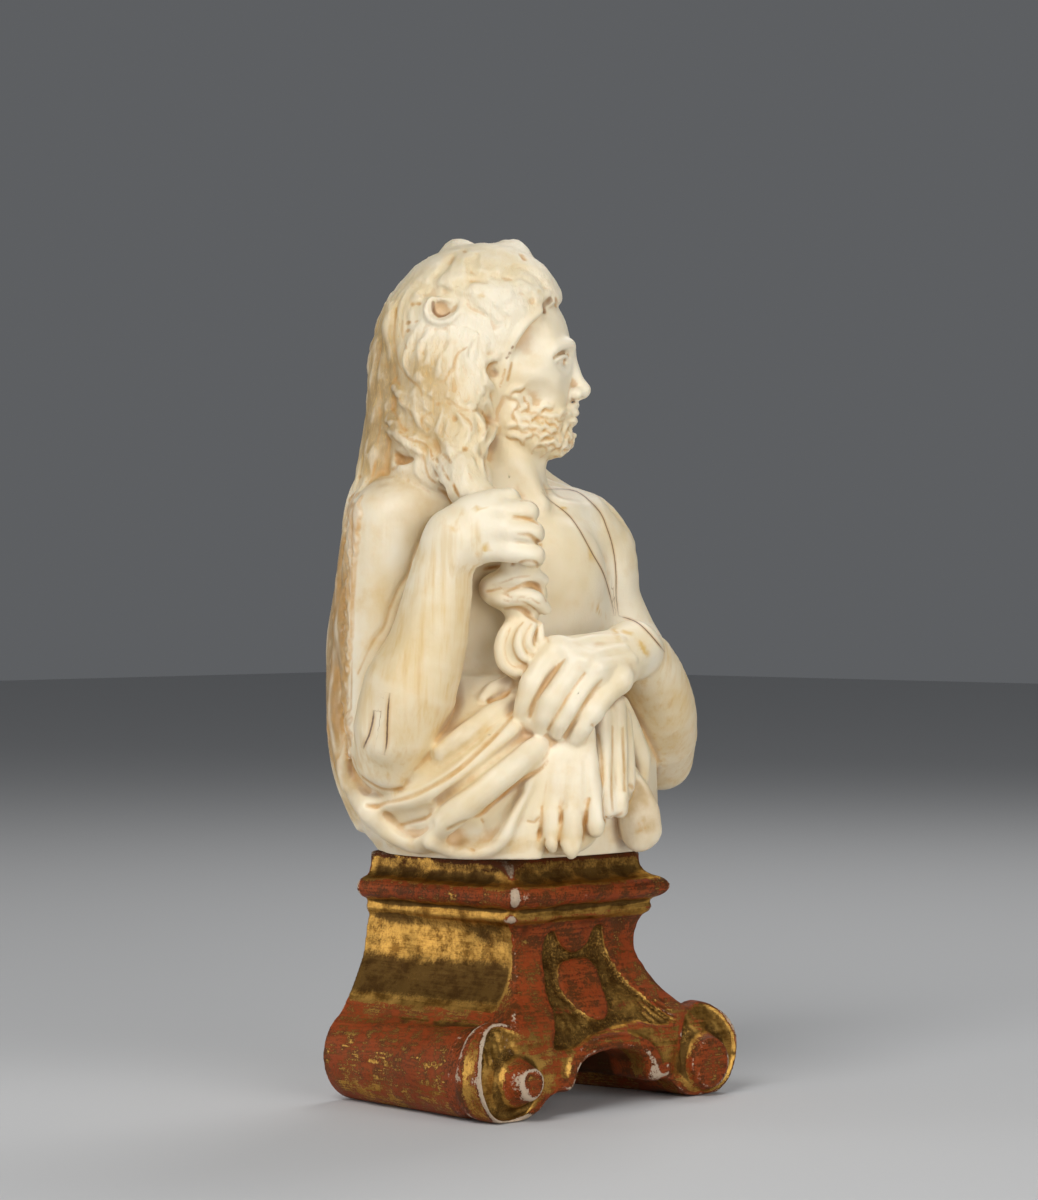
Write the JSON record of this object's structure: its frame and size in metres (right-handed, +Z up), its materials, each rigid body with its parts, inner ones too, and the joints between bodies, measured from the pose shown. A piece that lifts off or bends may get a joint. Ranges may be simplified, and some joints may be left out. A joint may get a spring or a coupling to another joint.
{
  "type": "carved statuette on a stand",
  "caption": "Carved half-figure of a bearded man hooded in a lion's skin, resting by its own weight on a gilded wood stand with scroll feet.",
  "frame": {"origin": "on the floor, under the middle of the whole work's box", "axes": "+Z up, the stand's carved front looks along -Y, +X to the right as seen from the front"},
  "size_m": [0.108, 0.0788, 0.2197],
  "materials": {
    "ivory": "aged ivory, softly polished, brown in the cuts",
    "gilding": "worn gilding over red clay and white ground"
  },
  "bodies": {
    "root": {"ivory_bust": "ivory", "gilt_scroll_stand": "gilding"}
  },
  "joints": []
}
